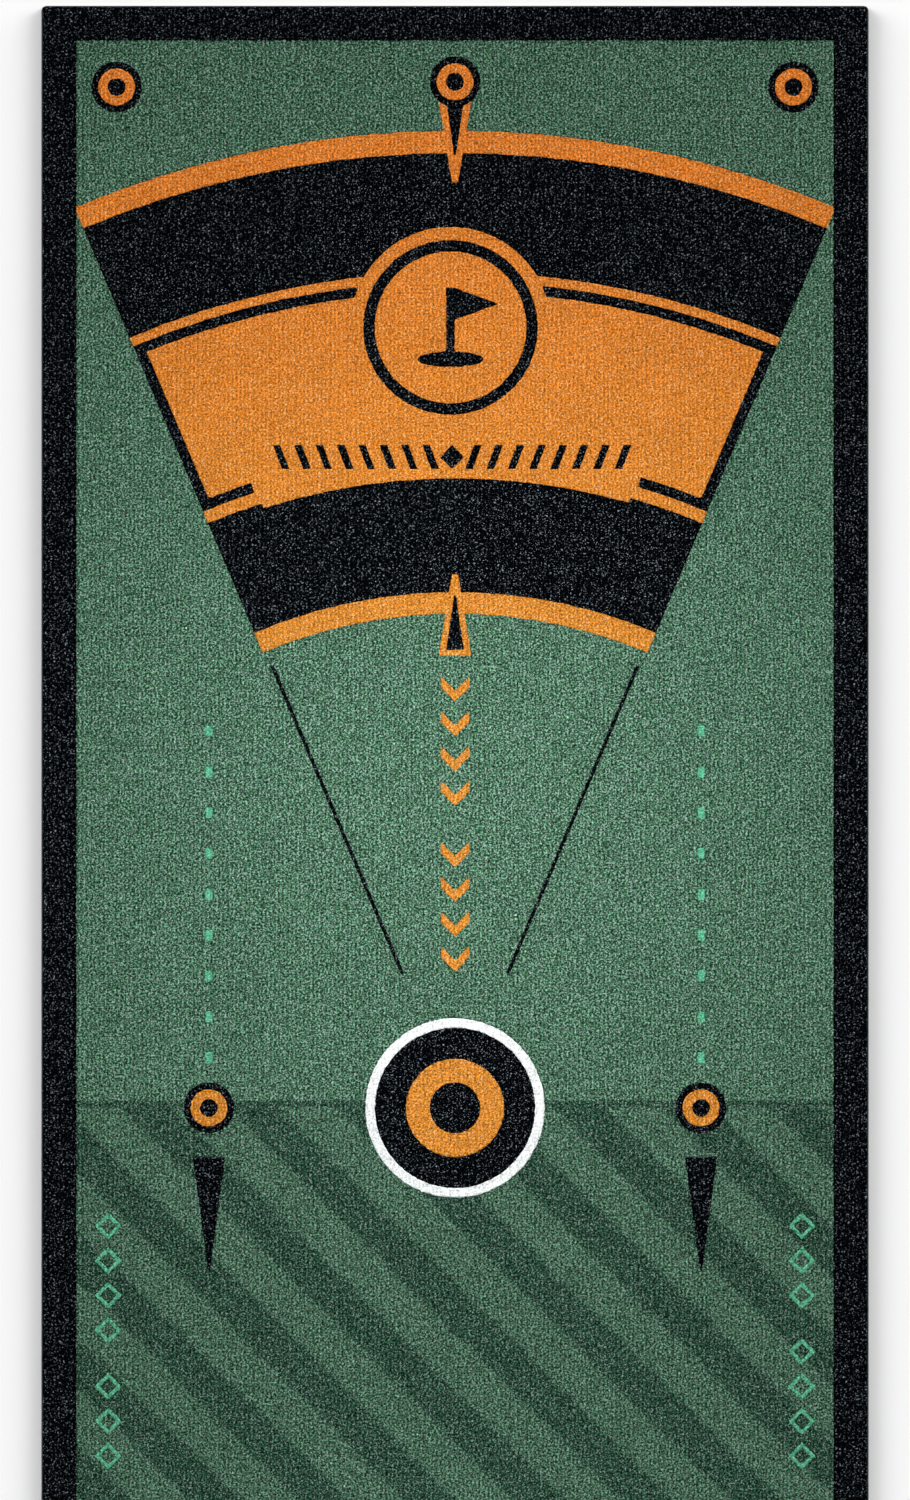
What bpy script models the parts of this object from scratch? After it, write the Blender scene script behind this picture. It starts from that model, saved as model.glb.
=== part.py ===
"""Practice putting mat: a dyed cut pile, tufted through a carrier cloth, on a rubber backing.

The mat lies flat on Z = 0 with its middle at the origin. +Y runs up the lane to the target
end and +X is to the right of a player who looks that way. All sizes are in metres.

The pile is divided where its dye changes. Each colour zone is a group of tufts of its own,
and a zone that is added later takes the place of the earlier ones wherever they would meet.
"""

import math

import bmesh
import bpy
from mathutils import Vector

# Overall sizes
LENGTH = 3.0
WIDTH = 0.5
CORNER_RADIUS = 0.003

# The layers, from the floor up
RUBBER_THICKNESS = 0.0018
RUBBER_CHAMFER = 0.0004
CARRIER_THICKNESS = 0.0006
PILE_HEIGHT = 0.0040
LAYER_GAP = 0.0003
ZONE_GAP = 0.0003

# The rubber that shows outside the pile, and the black border inside it
RIM = 0.0012
BORDER_WIDTH = 0.020

# The target: a flat, dyed cup of the regulation diameter with a white rim
TARGET_FROM_HEAD = 0.666
CUP_RADIUS = 0.0541
CUP_RIM_WIDTH = 0.0058
TARGET_BAND_RADIUS = 0.0296
TARGET_EYE_RADIUS = 0.0152

# The fan beyond the target, from its far arc to its near one. Its corners run on under the
# side borders, and its bands follow each other round the target.
FAN_FROM_HEAD = 0.0759
FAN_OVERRUN = 0.0011
OUTER_ARC_WIDTH = 0.0133
UPPER_BAND_WIDTH = 0.0720
TOP_TRIM_WIDTH = 0.0054
FRAME_WIDTH = 0.0064
PANEL_LENGTH = 0.0958
LOW_TRIM_WIDTH = 0.0073
TONGUE_DROP = 0.0031
TONGUE_LEFT_MARGIN = math.radians(4.85)
TONGUE_RIGHT_MARGIN = math.radians(6.5)
TONGUE_STEP_ANGLE = math.radians(0.35)
LOWER_BAND_WIDTH = 0.0721
INNER_ARC_WIDTH = 0.0127

# The disc on the fan, with a golf flag in it
DISC_FROM_PANEL_FOOT = 0.0742
DISC_SHIFT = -0.0027
DISC_SURROUND_RADIUS = 0.0606
DISC_RING_RADIUS = 0.0526
DISC_RING_WIDTH = 0.0068
FLAG_POLE_HEIGHT = 0.0430
FLAG_POLE_WIDTH = 0.0048
PENNANT_LENGTH = 0.0260
PENNANT_HEIGHT = 0.0190
FLAG_BASE_LENGTH = 0.0400
FLAG_BASE_WIDTH = 0.0090

# The round markers: black halo, orange band, black dot
HALO_RADIUS = 0.0152
BAND_RADIUS = 0.0111
DOT_RADIUS = 0.0053
CORNER_MARKER_INSET = 0.0241
CORNER_MARKER_FROM_HEAD = 0.0494
HEAD_MARKER_FROM_HEAD = 0.0463
SIDE_MARKER_INSET = 0.0799

# The needles: a black core inside an orange outline
NEEDLE_HALF_WIDTH = 0.0097
NEEDLE_LENGTH = 0.0490
NEEDLE_TIP_HALF_WIDTH = 0.0017
NEEDLE_CORE_HALF_WIDTH = 0.0052
NEEDLE_CORE_LENGTH = 0.0325
POINT_HALF_WIDTH = 0.0004
HEAD_NEEDLE_FROM_HEAD = 0.0580
FAN_NEEDLE_BEFORE_FAN = 0.0255
FAN_NEEDLE_FOOT = 0.0036

# The guide lines beyond the target and the wedges in front of it
GUIDE_WIDTH = 0.0018
GUIDE_INSET = 0.0022
GUIDE_FROM_CUP = 0.0329
GUIDE_BEFORE_FAN = 0.0097
WEDGE_FROM_TARGET = 0.0301
WEDGE_LENGTH = 0.0683
WEDGE_HALF_WIDTH = 0.0095

# The lines across the lane: the distance lines divide it evenly from the target to the start
TARGET_LINE_RISE = 0.0040
LINE_WIDTH = 0.0040
DISTANCE_LINE_COUNT = 3
START_LINE_FROM_FOOT = 0.334
START_MARKER_SETBACK = 0.1
START_SPOT_RADIUS = 0.0060

# How far a straight side may stand off the true arc, and which points are one point
CHORD_ERROR = 0.00015
WELD_DISTANCE = 0.00001

PILE_ROUGHNESS = 0.95

HEAD = LENGTH / 2
FOOT = -LENGTH / 2
TARGET_Y = HEAD - TARGET_FROM_HEAD
START_LINE_Y = FOOT + START_LINE_FROM_FOOT
START_Y = START_LINE_Y - START_MARKER_SETBACK
CARRIER_FLOOR = RUBBER_THICKNESS + LAYER_GAP
PILE_FLOOR = CARRIER_FLOOR + CARRIER_THICKNESS + LAYER_GAP
PILE_HALF_WIDTH = WIDTH / 2 - RIM
PILE_HEAD = HEAD - RIM
PILE_FOOT = FOOT + RIM
FIELD_HALF_WIDTH = PILE_HALF_WIDTH - BORDER_WIDTH - ZONE_GAP
FIELD_HEAD = PILE_HEAD - BORDER_WIDTH - ZONE_GAP
FIELD_FOOT = PILE_FOOT + BORDER_WIDTH + ZONE_GAP
SIDE_MARKER_X = FIELD_HALF_WIDTH - SIDE_MARKER_INSET

# The fan's radii about the target
FAN_TOP = TARGET_FROM_HEAD - FAN_FROM_HEAD
UPPER_TOP = FAN_TOP - OUTER_ARC_WIDTH
TRIM_TOP = UPPER_TOP - UPPER_BAND_WIDTH
FRAME_TOP = TRIM_TOP - TOP_TRIM_WIDTH
PANEL_TOP = FRAME_TOP - FRAME_WIDTH
PANEL_LOW = PANEL_TOP - PANEL_LENGTH
FRAME_LOW = PANEL_LOW - FRAME_WIDTH
LOWER_TOP = FRAME_LOW - LOW_TRIM_WIDTH
INNER_TOP = LOWER_TOP - LOWER_BAND_WIDTH
FAN_LOW = INNER_TOP - INNER_ARC_WIDTH
FAN_HALF_ANGLE = math.asin((FIELD_HALF_WIDTH + FAN_OVERRUN) / FAN_TOP)
DISC_Y = TARGET_Y + PANEL_LOW + DISC_FROM_PANEL_FOOT


def dye(name, colour, roughness):
    """One finish, as a Principled material."""
    material = bpy.data.materials.new(name)
    material.use_nodes = True
    shader = material.node_tree.nodes["Principled BSDF"]
    shader.inputs["Base Color"].default_value = (*colour, 1.0)
    shader.inputs["Roughness"].default_value = roughness
    shader.inputs["Metallic"].default_value = 0.0
    material.diffuse_color = (*colour, 1.0)
    return material


# Outlines: closed loops of points in the plane of the mat

def box(low_x, low_y, high_x, high_y):
    return [(low_x, low_y), (high_x, low_y), (high_x, high_y), (low_x, high_y)]


def sides_for(radius, turn=2 * math.pi):
    """How many straight sides follow an arc within CHORD_ERROR."""
    side = 2 * math.acos(1 - CHORD_ERROR / radius)
    return max(1, math.ceil(turn / side))


def circle(centre_x, centre_y, radius):
    count = sides_for(radius)
    angles = [2 * math.pi * step / count for step in range(count)]
    return [(centre_x + radius * math.cos(a), centre_y + radius * math.sin(a)) for a in angles]


def ellipse(centre_x, centre_y, half_length, half_width):
    points = circle(0.0, 0.0, half_length)
    return [(centre_x + x, centre_y + y * half_width / half_length) for x, y in points]


def arc(radius, start, end):
    """Points round the target, with angles taken from the mat's centre line."""
    count = sides_for(radius, abs(end - start))
    angles = [start + (end - start) * step / count for step in range(count + 1)]
    return [(radius * math.sin(a), TARGET_Y + radius * math.cos(a)) for a in angles]


def fan_piece(low, high, inset=0.0):
    """The fan between two radii, its straight sides set in from the fan's own."""
    top = FAN_HALF_ANGLE - math.asin(inset / high)
    bottom = FAN_HALF_ANGLE - math.asin(inset / low)
    return arc(high, top, -top) + arc(low, -bottom, bottom)


def needle_at(base_y, length, half_base, half_tip):
    """A long wedge on the centre line, with a blunt tip. A minus length points to the foot."""
    return [
        (-half_base, base_y),
        (half_base, base_y),
        (half_tip, base_y + length),
        (-half_tip, base_y + length),
    ]


def moved(outline, shift_x, shift_y):
    return [(x + shift_x, y + shift_y) for x, y in outline]


def mirrored(outline):
    """The same outline on the other side of the centre line."""
    return [(-x, y) for x, y in reversed(outline)]


def anticlockwise(outline):
    ends = outline[1:] + outline[:1]
    area = sum(a[0] * b[1] - b[0] * a[1] for a, b in zip(outline, ends))
    return outline if area > 0 else outline[::-1]


def grown(outline, distance):
    """Moves every side out, away from the material, and meets the sides again."""
    points = [Vector(point) for point in outline]
    grown_points = []
    for index, here in enumerate(points):
        before = (here - points[index - 1]).normalized()
        after = (points[(index + 1) % len(points)] - here).normalized()
        out_before = Vector((before.y, -before.x))
        out_after = Vector((after.y, -after.x))
        middle = (out_before + out_after).normalized()
        grown_points.append(tuple(here + middle * distance / middle.dot(out_after)))
    return grown_points


def clipped(outline, low, high):
    """The part of an outline inside a box, which is cut one side of the box at a time."""
    for axis in (0, 1):
        for sign, limit in ((1, high[axis]), (-1, -low[axis])):
            kept = []
            for start, end in zip(outline, outline[1:] + outline[:1]):
                start_over = sign * start[axis] - limit
                end_over = sign * end[axis] - limit
                if start_over <= 0:
                    kept.append(start)
                if (start_over < 0 < end_over) or (end_over < 0 < start_over):
                    share = start_over / (start_over - end_over)
                    kept.append(tuple(a + (b - a) * share for a, b in zip(start, end)))
            outline = kept
            if not outline:
                return []
    return outline


# Solids

def slab(name, outline, thickness, floor):
    """A flat solid of one outline, standing at the given height."""
    curve = bpy.data.curves.new(name, "CURVE")
    curve.dimensions = "2D"
    curve.fill_mode = "BOTH"
    curve.extrude = thickness / 2
    spline = curve.splines.new("POLY")
    spline.points.add(len(outline) - 1)
    for point, (x, y) in zip(spline.points, outline):
        point.co = (x, y, 0.0, 1.0)
    spline.use_cyclic_u = True
    drawn = bpy.data.objects.new(name + "_outline", curve)
    bpy.context.scene.collection.objects.link(drawn)
    drawn.location.z = floor + thickness / 2
    bpy.context.view_layer.update()
    evaluated = drawn.evaluated_get(bpy.context.evaluated_depsgraph_get())
    mesh = bpy.data.meshes.new_from_object(evaluated)
    bm = bmesh.new()
    bm.from_mesh(mesh)
    bmesh.ops.remove_doubles(bm, verts=bm.verts, dist=WELD_DISTANCE)
    bmesh.ops.recalc_face_normals(bm, faces=bm.faces)
    bm.to_mesh(mesh)
    bm.free()
    mesh.name = name
    solid = bpy.data.objects.new(name, mesh)
    solid.matrix_world = drawn.matrix_world
    bpy.data.objects.remove(drawn)
    return solid


def add_part(solid, material):
    solid.data.materials.clear()
    solid.data.materials.append(material)
    parts.objects.link(solid)
    solid.parent = mat


def as_tool(solid):
    """Keeps a solid that only cuts or joins other ones out of the model."""
    solid.hide_render = True
    solid.display_type = "WIRE"
    cutters.objects.link(solid)
    return solid


def boolean(solid, tool, operation):
    modifier = solid.modifiers.new(tool.name, "BOOLEAN")
    modifier.operation = operation
    modifier.solver = "EXACT"
    modifier.object = tool


def reach(outline):
    """An outline's lowest and highest x and y."""
    xs = [x for x, y in outline]
    ys = [y for x, y in outline]
    return min(xs), min(ys), max(xs), max(ys)


def meets(one, other):
    """True if two outlines' boxes come within two zone gaps of each other."""
    low_x, low_y, high_x, high_y = reach(one)
    other_low_x, other_low_y, other_high_x, other_high_y = reach(other)
    margin = 2 * ZONE_GAP
    meets_x = low_x < other_high_x + margin and other_low_x < high_x + margin
    meets_y = low_y < other_high_y + margin and other_low_y < high_y + margin
    return meets_x and meets_y


# Zones of the pile, in the order in which one takes the place of another

zones = []


def zone(name, material, *outlines):
    """Adds an area of one dye. Its outlines overlap and are joined into one solid."""
    zones.append((name, material, [anticlockwise(outline) for outline in outlines]))


def field_box(low_y, high_y):
    return box(-FIELD_HALF_WIDTH, low_y, FIELD_HALF_WIDTH, high_y)


def in_field(outline):
    """The part of an outline between the two long borders."""
    low = (-FIELD_HALF_WIDTH, FIELD_FOOT)
    high = (FIELD_HALF_WIDTH, FIELD_HEAD)
    return clipped(outline, low, high)


def cross_line(name, material, y):
    zone(name, material, field_box(y - LINE_WIDTH / 2, y + LINE_WIDTH / 2))


def border_zones(black):
    """Four strips: the long ones run the whole length and the short ones fit between."""
    inner = PILE_HALF_WIDTH - BORDER_WIDTH
    left = box(-PILE_HALF_WIDTH, PILE_FOOT, -inner, PILE_HEAD)
    zone("border_left", black, left)
    zone("border_right", black, mirrored(left))
    end = inner - ZONE_GAP
    zone("border_head", black, box(-end, PILE_HEAD - BORDER_WIDTH, end, PILE_HEAD))
    zone("border_foot", black, box(-end, PILE_FOOT, end, PILE_FOOT + BORDER_WIDTH))


def field_zones(green):
    """The green ground between the target line and the head of the mat."""
    shoulder = TARGET_Y + FAN_TOP * math.cos(FAN_HALF_ANGLE)
    zone("field_head", green, field_box(shoulder + ZONE_GAP, FIELD_HEAD))
    zone("field_target", green, field_box(TARGET_Y + TARGET_LINE_RISE, shoulder))


def lane_zones(green, shade, white):
    """The lane from the target line to the foot, divided by the lines across it."""
    target_line = TARGET_Y + TARGET_LINE_RISE - ZONE_GAP
    pitch = (TARGET_Y - START_LINE_Y) / (DISTANCE_LINE_COUNT + 1)
    steps = [TARGET_Y - pitch * (step + 1) for step in range(DISTANCE_LINE_COUNT)]
    zone("field_striped", green, field_box(steps[0], target_line))
    bottoms = steps[1:] + [START_LINE_Y]
    for number, (top, bottom) in enumerate(zip(steps, bottoms), start=1):
        zone(f"lane_section_{number}", green, field_box(bottom, top))
    zone("start_field", green, field_box(FIELD_FOOT, START_LINE_Y))
    for number, y in enumerate(steps, start=1):
        cross_line(f"distance_line_{number}", shade, y)
    cross_line("start_line", white, START_LINE_Y)


def fan_zones(black, orange):
    """The fan, from its far arc to its near one, with needles that point across it."""
    zone("fan_upper_band", black, in_field(fan_piece(TRIM_TOP, UPPER_TOP)))
    zone("fan_lower_band", black, in_field(fan_piece(INNER_TOP, LOWER_TOP)))
    frame = arc(FRAME_TOP, 0.0, -FAN_HALF_ANGLE) + arc(FRAME_LOW, -FAN_HALF_ANGLE, 0.0)
    zone("fan_frame_left", black, in_field(frame))
    zone("fan_frame_right", black, in_field(mirrored(frame)))

    # The panel's tongue reaches down to the lower band between the two low trims.
    top_half = FAN_HALF_ANGLE - math.asin(FRAME_WIDTH / PANEL_TOP)
    low_half = FAN_HALF_ANGLE - math.asin(FRAME_WIDTH / PANEL_LOW)
    left = FAN_HALF_ANGLE - TONGUE_LEFT_MARGIN
    right = FAN_HALF_ANGLE - TONGUE_RIGHT_MARGIN
    left_step = left - TONGUE_STEP_ANGLE
    right_step = right - TONGUE_STEP_ANGLE
    panel = (
        arc(PANEL_TOP, top_half, -top_half)
        + arc(PANEL_LOW, -low_half, -left)
        + arc(LOWER_TOP, -left, -left_step)
        + arc(LOWER_TOP - TONGUE_DROP, -left_step, right_step)
        + arc(LOWER_TOP, right_step, right)
        + arc(PANEL_LOW, right, low_half)
    )
    top_trim = fan_piece(FRAME_TOP, TRIM_TOP)
    zone(
        "fan_panel",
        orange,
        in_field(panel),
        circle(DISC_SHIFT, DISC_Y, DISC_SURROUND_RADIUS),
        in_field(top_trim),
        in_field(mirrored(low_trim(left_step))),
        in_field(low_trim(right_step)),
    )

    head_base = HEAD - HEAD_NEEDLE_FROM_HEAD
    head_needle = needle_at(head_base, -NEEDLE_LENGTH, NEEDLE_HALF_WIDTH, NEEDLE_TIP_HALF_WIDTH)
    zone("fan_outer_arc", orange, in_field(fan_piece(UPPER_TOP, FAN_TOP)), head_needle)
    base = TARGET_Y + FAN_LOW - FAN_NEEDLE_BEFORE_FAN
    fan_needle = needle_at(base, NEEDLE_LENGTH, NEEDLE_HALF_WIDTH, NEEDLE_TIP_HALF_WIDTH)
    zone("fan_inner_arc", orange, in_field(fan_piece(FAN_LOW, INNER_TOP)), fan_needle)
    foot = base + FAN_NEEDLE_FOOT
    core = needle_at(foot, NEEDLE_CORE_LENGTH, NEEDLE_CORE_HALF_WIDTH, POINT_HALF_WIDTH)
    zone("fan_needle_core", black, core)


def low_trim(end):
    """The thin band under the frame's right half, in as far as an angle."""
    return arc(FRAME_LOW, FAN_HALF_ANGLE, end) + arc(LOWER_TOP, end, FAN_HALF_ANGLE)


def disc_zones(black, orange):
    """The disc on the fan's panel, with a golf flag that stands on a green."""
    zone("disc_ring", black, circle(DISC_SHIFT, DISC_Y, DISC_RING_RADIUS))
    zone("disc_face", orange, circle(DISC_SHIFT, DISC_Y, DISC_RING_RADIUS - DISC_RING_WIDTH))
    foot = DISC_Y - (FLAG_POLE_HEIGHT - FLAG_BASE_WIDTH / 2) / 2
    top = foot + FLAG_POLE_HEIGHT
    left = DISC_SHIFT - FLAG_POLE_WIDTH / 2
    right = DISC_SHIFT + FLAG_POLE_WIDTH / 2
    flag = [
        (left, foot),
        (right, foot),
        (right, top - PENNANT_HEIGHT),
        (right + PENNANT_LENGTH, top - PENNANT_HEIGHT / 2),
        (right, top),
        (left, top),
    ]
    base = ellipse(DISC_SHIFT, foot, FLAG_BASE_LENGTH / 2, FLAG_BASE_WIDTH / 2)
    zone("disc_flag", black, flag, base)


def marker_zones(name, black, orange, centre_x, centre_y, needle=None):
    """A round marker, with a needle that grows out of its halo if it has one."""
    halo = [circle(centre_x, centre_y, HALO_RADIUS)]
    if needle:
        halo.append(needle)
    zone(name + "_halo", black, *halo)
    zone(name + "_band", orange, circle(centre_x, centre_y, BAND_RADIUS))
    zone(name + "_dot", black, circle(centre_x, centre_y, DOT_RADIUS))


def all_marker_zones(black, orange):
    corner_x = FIELD_HALF_WIDTH - CORNER_MARKER_INSET
    corner_y = HEAD - CORNER_MARKER_FROM_HEAD
    for side, sign in (("left", -1), ("right", 1)):
        marker_zones(f"{side}_corner_marker", black, orange, sign * corner_x, corner_y)
        marker_zones(f"{side}_marker", black, orange, sign * SIDE_MARKER_X, TARGET_Y)
    head_y = HEAD - HEAD_MARKER_FROM_HEAD
    foot = HEAD - HEAD_NEEDLE_FROM_HEAD
    core = needle_at(foot, -NEEDLE_CORE_LENGTH, NEEDLE_CORE_HALF_WIDTH, POINT_HALF_WIDTH)
    marker_zones("head_marker", black, orange, 0.0, head_y, core)
    marker_zones("start_marker", black, orange, 0.0, START_Y)


def target_zones(black, orange, white):
    zone("target_rim", white, circle(0.0, TARGET_Y, CUP_RADIUS))
    zone("target_cup", black, circle(0.0, TARGET_Y, CUP_RADIUS - CUP_RIM_WIDTH))
    zone("target_band", orange, circle(0.0, TARGET_Y, TARGET_BAND_RADIUS))
    zone("target_eye", black, circle(0.0, TARGET_Y, TARGET_EYE_RADIUS))


def guide_zones(black, mint):
    """The guide lines, the wedges and the two spots beside the start marker."""
    along = Vector((math.sin(FAN_HALF_ANGLE), math.cos(FAN_HALF_ANGLE)))
    across = Vector((-along.y, along.x))
    start = Vector((0.0, TARGET_Y)) + across * GUIDE_INSET
    near = start + along * (CUP_RADIUS + GUIDE_FROM_CUP)
    far = start + along * (FAN_LOW - GUIDE_BEFORE_FAN)
    half = across * GUIDE_WIDTH / 2
    guide = [tuple(corner) for corner in (near - half, near + half, far + half, far - half)]
    zone("guide_line_left", black, mirrored(guide))
    zone("guide_line_right", black, guide)

    top = TARGET_Y - WEDGE_FROM_TARGET
    wedge = needle_at(top, -WEDGE_LENGTH, WEDGE_HALF_WIDTH, POINT_HALF_WIDTH)
    spot = circle(0.0, START_Y, START_SPOT_RADIUS)
    for side, sign in (("left", -1), ("right", 1)):
        zone(f"{side}_wedge", black, moved(wedge, sign * SIDE_MARKER_X, 0.0))
        zone(f"{side}_start_spot", mint, moved(spot, sign * SIDE_MARKER_X, 0.0))


def build_pile():
    """Makes each zone of its outlines, and cuts it back from the zones after it."""
    cuts = [[None] * len(outlines) for name, material, outlines in zones]
    for index, (name, material, outlines) in enumerate(zones):
        solid = slab(name, outlines[0], PILE_HEIGHT, PILE_FLOOR)
        add_part(solid, material)
        for number, outline in enumerate(outlines[1:], start=1):
            joined = slab(f"join_{name}_{number}", outline, PILE_HEIGHT, PILE_FLOOR)
            boolean(solid, as_tool(joined), "UNION")
        for later in range(index + 1, len(zones)):
            for number, other in enumerate(zones[later][2]):
                if not any(meets(outline, other) for outline in outlines):
                    continue
                if cuts[later][number] is None:
                    cut_name = f"cut_{zones[later][0]}_{number}"
                    cuts[later][number] = pile_cutter(cut_name, other)
                boolean(solid, cuts[later][number], "DIFFERENCE")


def pile_cutter(name, outline):
    """An outline grown by the zone gap, tall enough to cut the whole pile."""
    margin = LAYER_GAP / 2
    height = PILE_HEIGHT + 2 * margin
    return as_tool(slab(name, grown(outline, ZONE_GAP), height, PILE_FLOOR - margin))


def build_base(rubber, cloth):
    """The rubber backing and the cloth that the tufts are stitched through."""
    half_x = WIDTH / 2 - CORNER_RADIUS
    half_y = LENGTH / 2 - CORNER_RADIUS
    steps = sides_for(CORNER_RADIUS, math.pi / 2)
    outline = []
    for quarter, (x, y) in enumerate(((1, 1), (-1, 1), (-1, -1), (1, -1))):
        for step in range(steps + 1):
            angle = math.pi / 2 * (quarter + step / steps)
            across = x * half_x + CORNER_RADIUS * math.cos(angle)
            along = y * half_y + CORNER_RADIUS * math.sin(angle)
            outline.append((across, along))
    backing = slab("rubber_backing", outline, RUBBER_THICKNESS, 0.0)
    add_part(backing, rubber)
    edge = backing.modifiers.new("edge", "BEVEL")
    edge.width = RUBBER_CHAMFER
    edge.segments = 1
    edge.limit_method = "ANGLE"
    edge.angle_limit = math.radians(60)

    cloth_outline = box(-PILE_HALF_WIDTH, PILE_FOOT, PILE_HALF_WIDTH, PILE_HEAD)
    add_part(slab("tuft_carrier", cloth_outline, CARRIER_THICKNESS, CARRIER_FLOOR), cloth)


for leftover in list(bpy.data.objects):
    bpy.data.objects.remove(leftover)

parts = bpy.data.collections.new("putting_mat")
cutters = bpy.data.collections.new("cutters")
for collection in (parts, cutters):
    bpy.context.scene.collection.children.link(collection)
mat = bpy.data.objects.new("mat", None)
parts.objects.link(mat)

black_dye = dye("black_pile", (0.0065, 0.0080, 0.0103), PILE_ROUGHNESS)
green_dye = dye("green_pile", (0.078, 0.165, 0.107), PILE_ROUGHNESS)
shade_dye = dye("shade_green_pile", (0.033, 0.078, 0.051), PILE_ROUGHNESS)
orange_dye = dye("orange_pile", (0.693, 0.216, 0.032), PILE_ROUGHNESS)
mint_dye = dye("mint_pile", (0.115, 0.546, 0.305), PILE_ROUGHNESS)
white_dye = dye("white_pile", (0.90, 0.90, 0.90), PILE_ROUGHNESS)
rubber_finish = dye("nitrile_rubber", (0.020, 0.020, 0.021), 0.75)
cloth_finish = dye("carrier_cloth", (0.30, 0.30, 0.29), 0.90)

build_base(rubber_finish, cloth_finish)
field_zones(green_dye)
lane_zones(green_dye, shade_dye, white_dye)
fan_zones(black_dye, orange_dye)
disc_zones(black_dye, orange_dye)
all_marker_zones(black_dye, orange_dye)
guide_zones(black_dye, mint_dye)
target_zones(black_dye, orange_dye, white_dye)
border_zones(black_dye)
build_pile()
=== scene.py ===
"""The looks of a practice putting mat: dyed cut pile on a carrier cloth and a rubber backing.

The mat lies on Z = 0, +Y runs up the lane to the target end, and all sizes are in metres.
"""

import math

import bmesh
import bpy
import numpy as np
from mathutils import Matrix, Vector


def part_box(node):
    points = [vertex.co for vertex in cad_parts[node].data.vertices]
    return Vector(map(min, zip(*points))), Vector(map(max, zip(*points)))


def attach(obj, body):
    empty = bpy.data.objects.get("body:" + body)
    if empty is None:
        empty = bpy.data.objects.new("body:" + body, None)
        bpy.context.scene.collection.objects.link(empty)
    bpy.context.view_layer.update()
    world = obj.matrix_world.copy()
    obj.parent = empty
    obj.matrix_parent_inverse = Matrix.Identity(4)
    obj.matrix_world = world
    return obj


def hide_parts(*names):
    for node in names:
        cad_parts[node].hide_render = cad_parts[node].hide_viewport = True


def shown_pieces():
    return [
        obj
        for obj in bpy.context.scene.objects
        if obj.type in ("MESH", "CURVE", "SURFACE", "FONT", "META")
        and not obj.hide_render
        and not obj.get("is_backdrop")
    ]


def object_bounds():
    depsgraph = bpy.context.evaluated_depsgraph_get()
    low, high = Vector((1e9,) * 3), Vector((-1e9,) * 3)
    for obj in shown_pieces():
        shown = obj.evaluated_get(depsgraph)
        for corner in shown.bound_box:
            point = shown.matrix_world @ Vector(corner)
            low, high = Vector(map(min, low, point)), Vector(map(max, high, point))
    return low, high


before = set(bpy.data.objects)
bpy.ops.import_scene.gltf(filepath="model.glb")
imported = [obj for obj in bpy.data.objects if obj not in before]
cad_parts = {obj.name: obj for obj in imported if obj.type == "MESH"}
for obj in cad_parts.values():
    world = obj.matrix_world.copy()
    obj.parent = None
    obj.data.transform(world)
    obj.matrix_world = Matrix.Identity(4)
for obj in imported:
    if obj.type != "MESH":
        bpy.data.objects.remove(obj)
cad_low, cad_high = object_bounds()


# ---------------------------------------------------------------- Rubber backing
# A calendered sheet of black nitrile rubber, the widest layer of the mat, so a thin rim of it
# shows round the pile. Its underside is moulded with low ribs across the mat, which grip.

RIB_PITCH = 0.006
RIB_HEIGHT = 0.0003
WELD = 0.00001
CLEAR_OF_END = 0.2


def merged_copy(node):
    """A CAD node's solid as a new bmesh, with its loose triangles joined."""
    bm = bmesh.new()
    bm.from_mesh(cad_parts[node].data)
    bmesh.ops.remove_doubles(bm, verts=bm.verts, dist=WELD)
    bm.normal_update()
    return bm


def even_planes(low, high, pitch):
    """Where planes at whole pitches cut a stretch, clear of its two ends."""
    first = math.ceil(low / pitch + CLEAR_OF_END)
    last = math.floor(high / pitch - CLEAR_OF_END)
    return [number * pitch for number in range(first, last + 1)]


def slice_faces(bm, faces, axis, planes):
    """Cuts faces by parallel planes: the middle one first, then those of each half."""
    if not planes or not faces:
        return
    middle = len(planes) // 2
    point = Vector((0.0, 0.0, 0.0))
    point[axis] = planes[middle]
    normal = Vector((0.0, 0.0, 0.0))
    normal[axis] = 1.0
    edges = list({edge for face in faces for edge in face.edges})
    geom = faces + edges
    cut = bmesh.ops.bisect_plane(bm, geom=geom, dist=WELD / 10, plane_co=point, plane_no=normal)
    below, above = [], []
    for item in cut["geom"]:
        if isinstance(item, bmesh.types.BMFace):
            side = above if item.calc_center_median()[axis] > planes[middle] else below
            side.append(item)
    slice_faces(bm, below, axis, planes[:middle])
    slice_faces(bm, above, axis, planes[middle + 1:])


def finished(bm, name, material, slot, *nodes):
    """Turns a bmesh into a piece of the mat, in place of the given CAD nodes."""
    mesh = bpy.data.meshes.new(name)
    bm.to_mesh(mesh)
    bm.free()
    mesh.materials.append(material)
    piece = bpy.data.objects.new(name, mesh)
    bpy.context.scene.collection.objects.link(piece)
    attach(piece, "root")
    if nodes:
        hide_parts(*nodes)
    return piece


def new_material(name, roughness):
    """A plain Principled material, for its maker to add textures to."""
    material = bpy.data.materials.new(name)
    material.use_nodes = True
    shader = material.node_tree.nodes["Principled BSDF"]
    shader.inputs["Roughness"].default_value = roughness
    return material, material.node_tree, shader


def add_node(tree, kind, **values):
    """A shader node with some of its sockets set."""
    node = tree.nodes.new(kind)
    for key, value in values.items():
        node.inputs[key.replace("_", " ")].default_value = value
    return node


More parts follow.
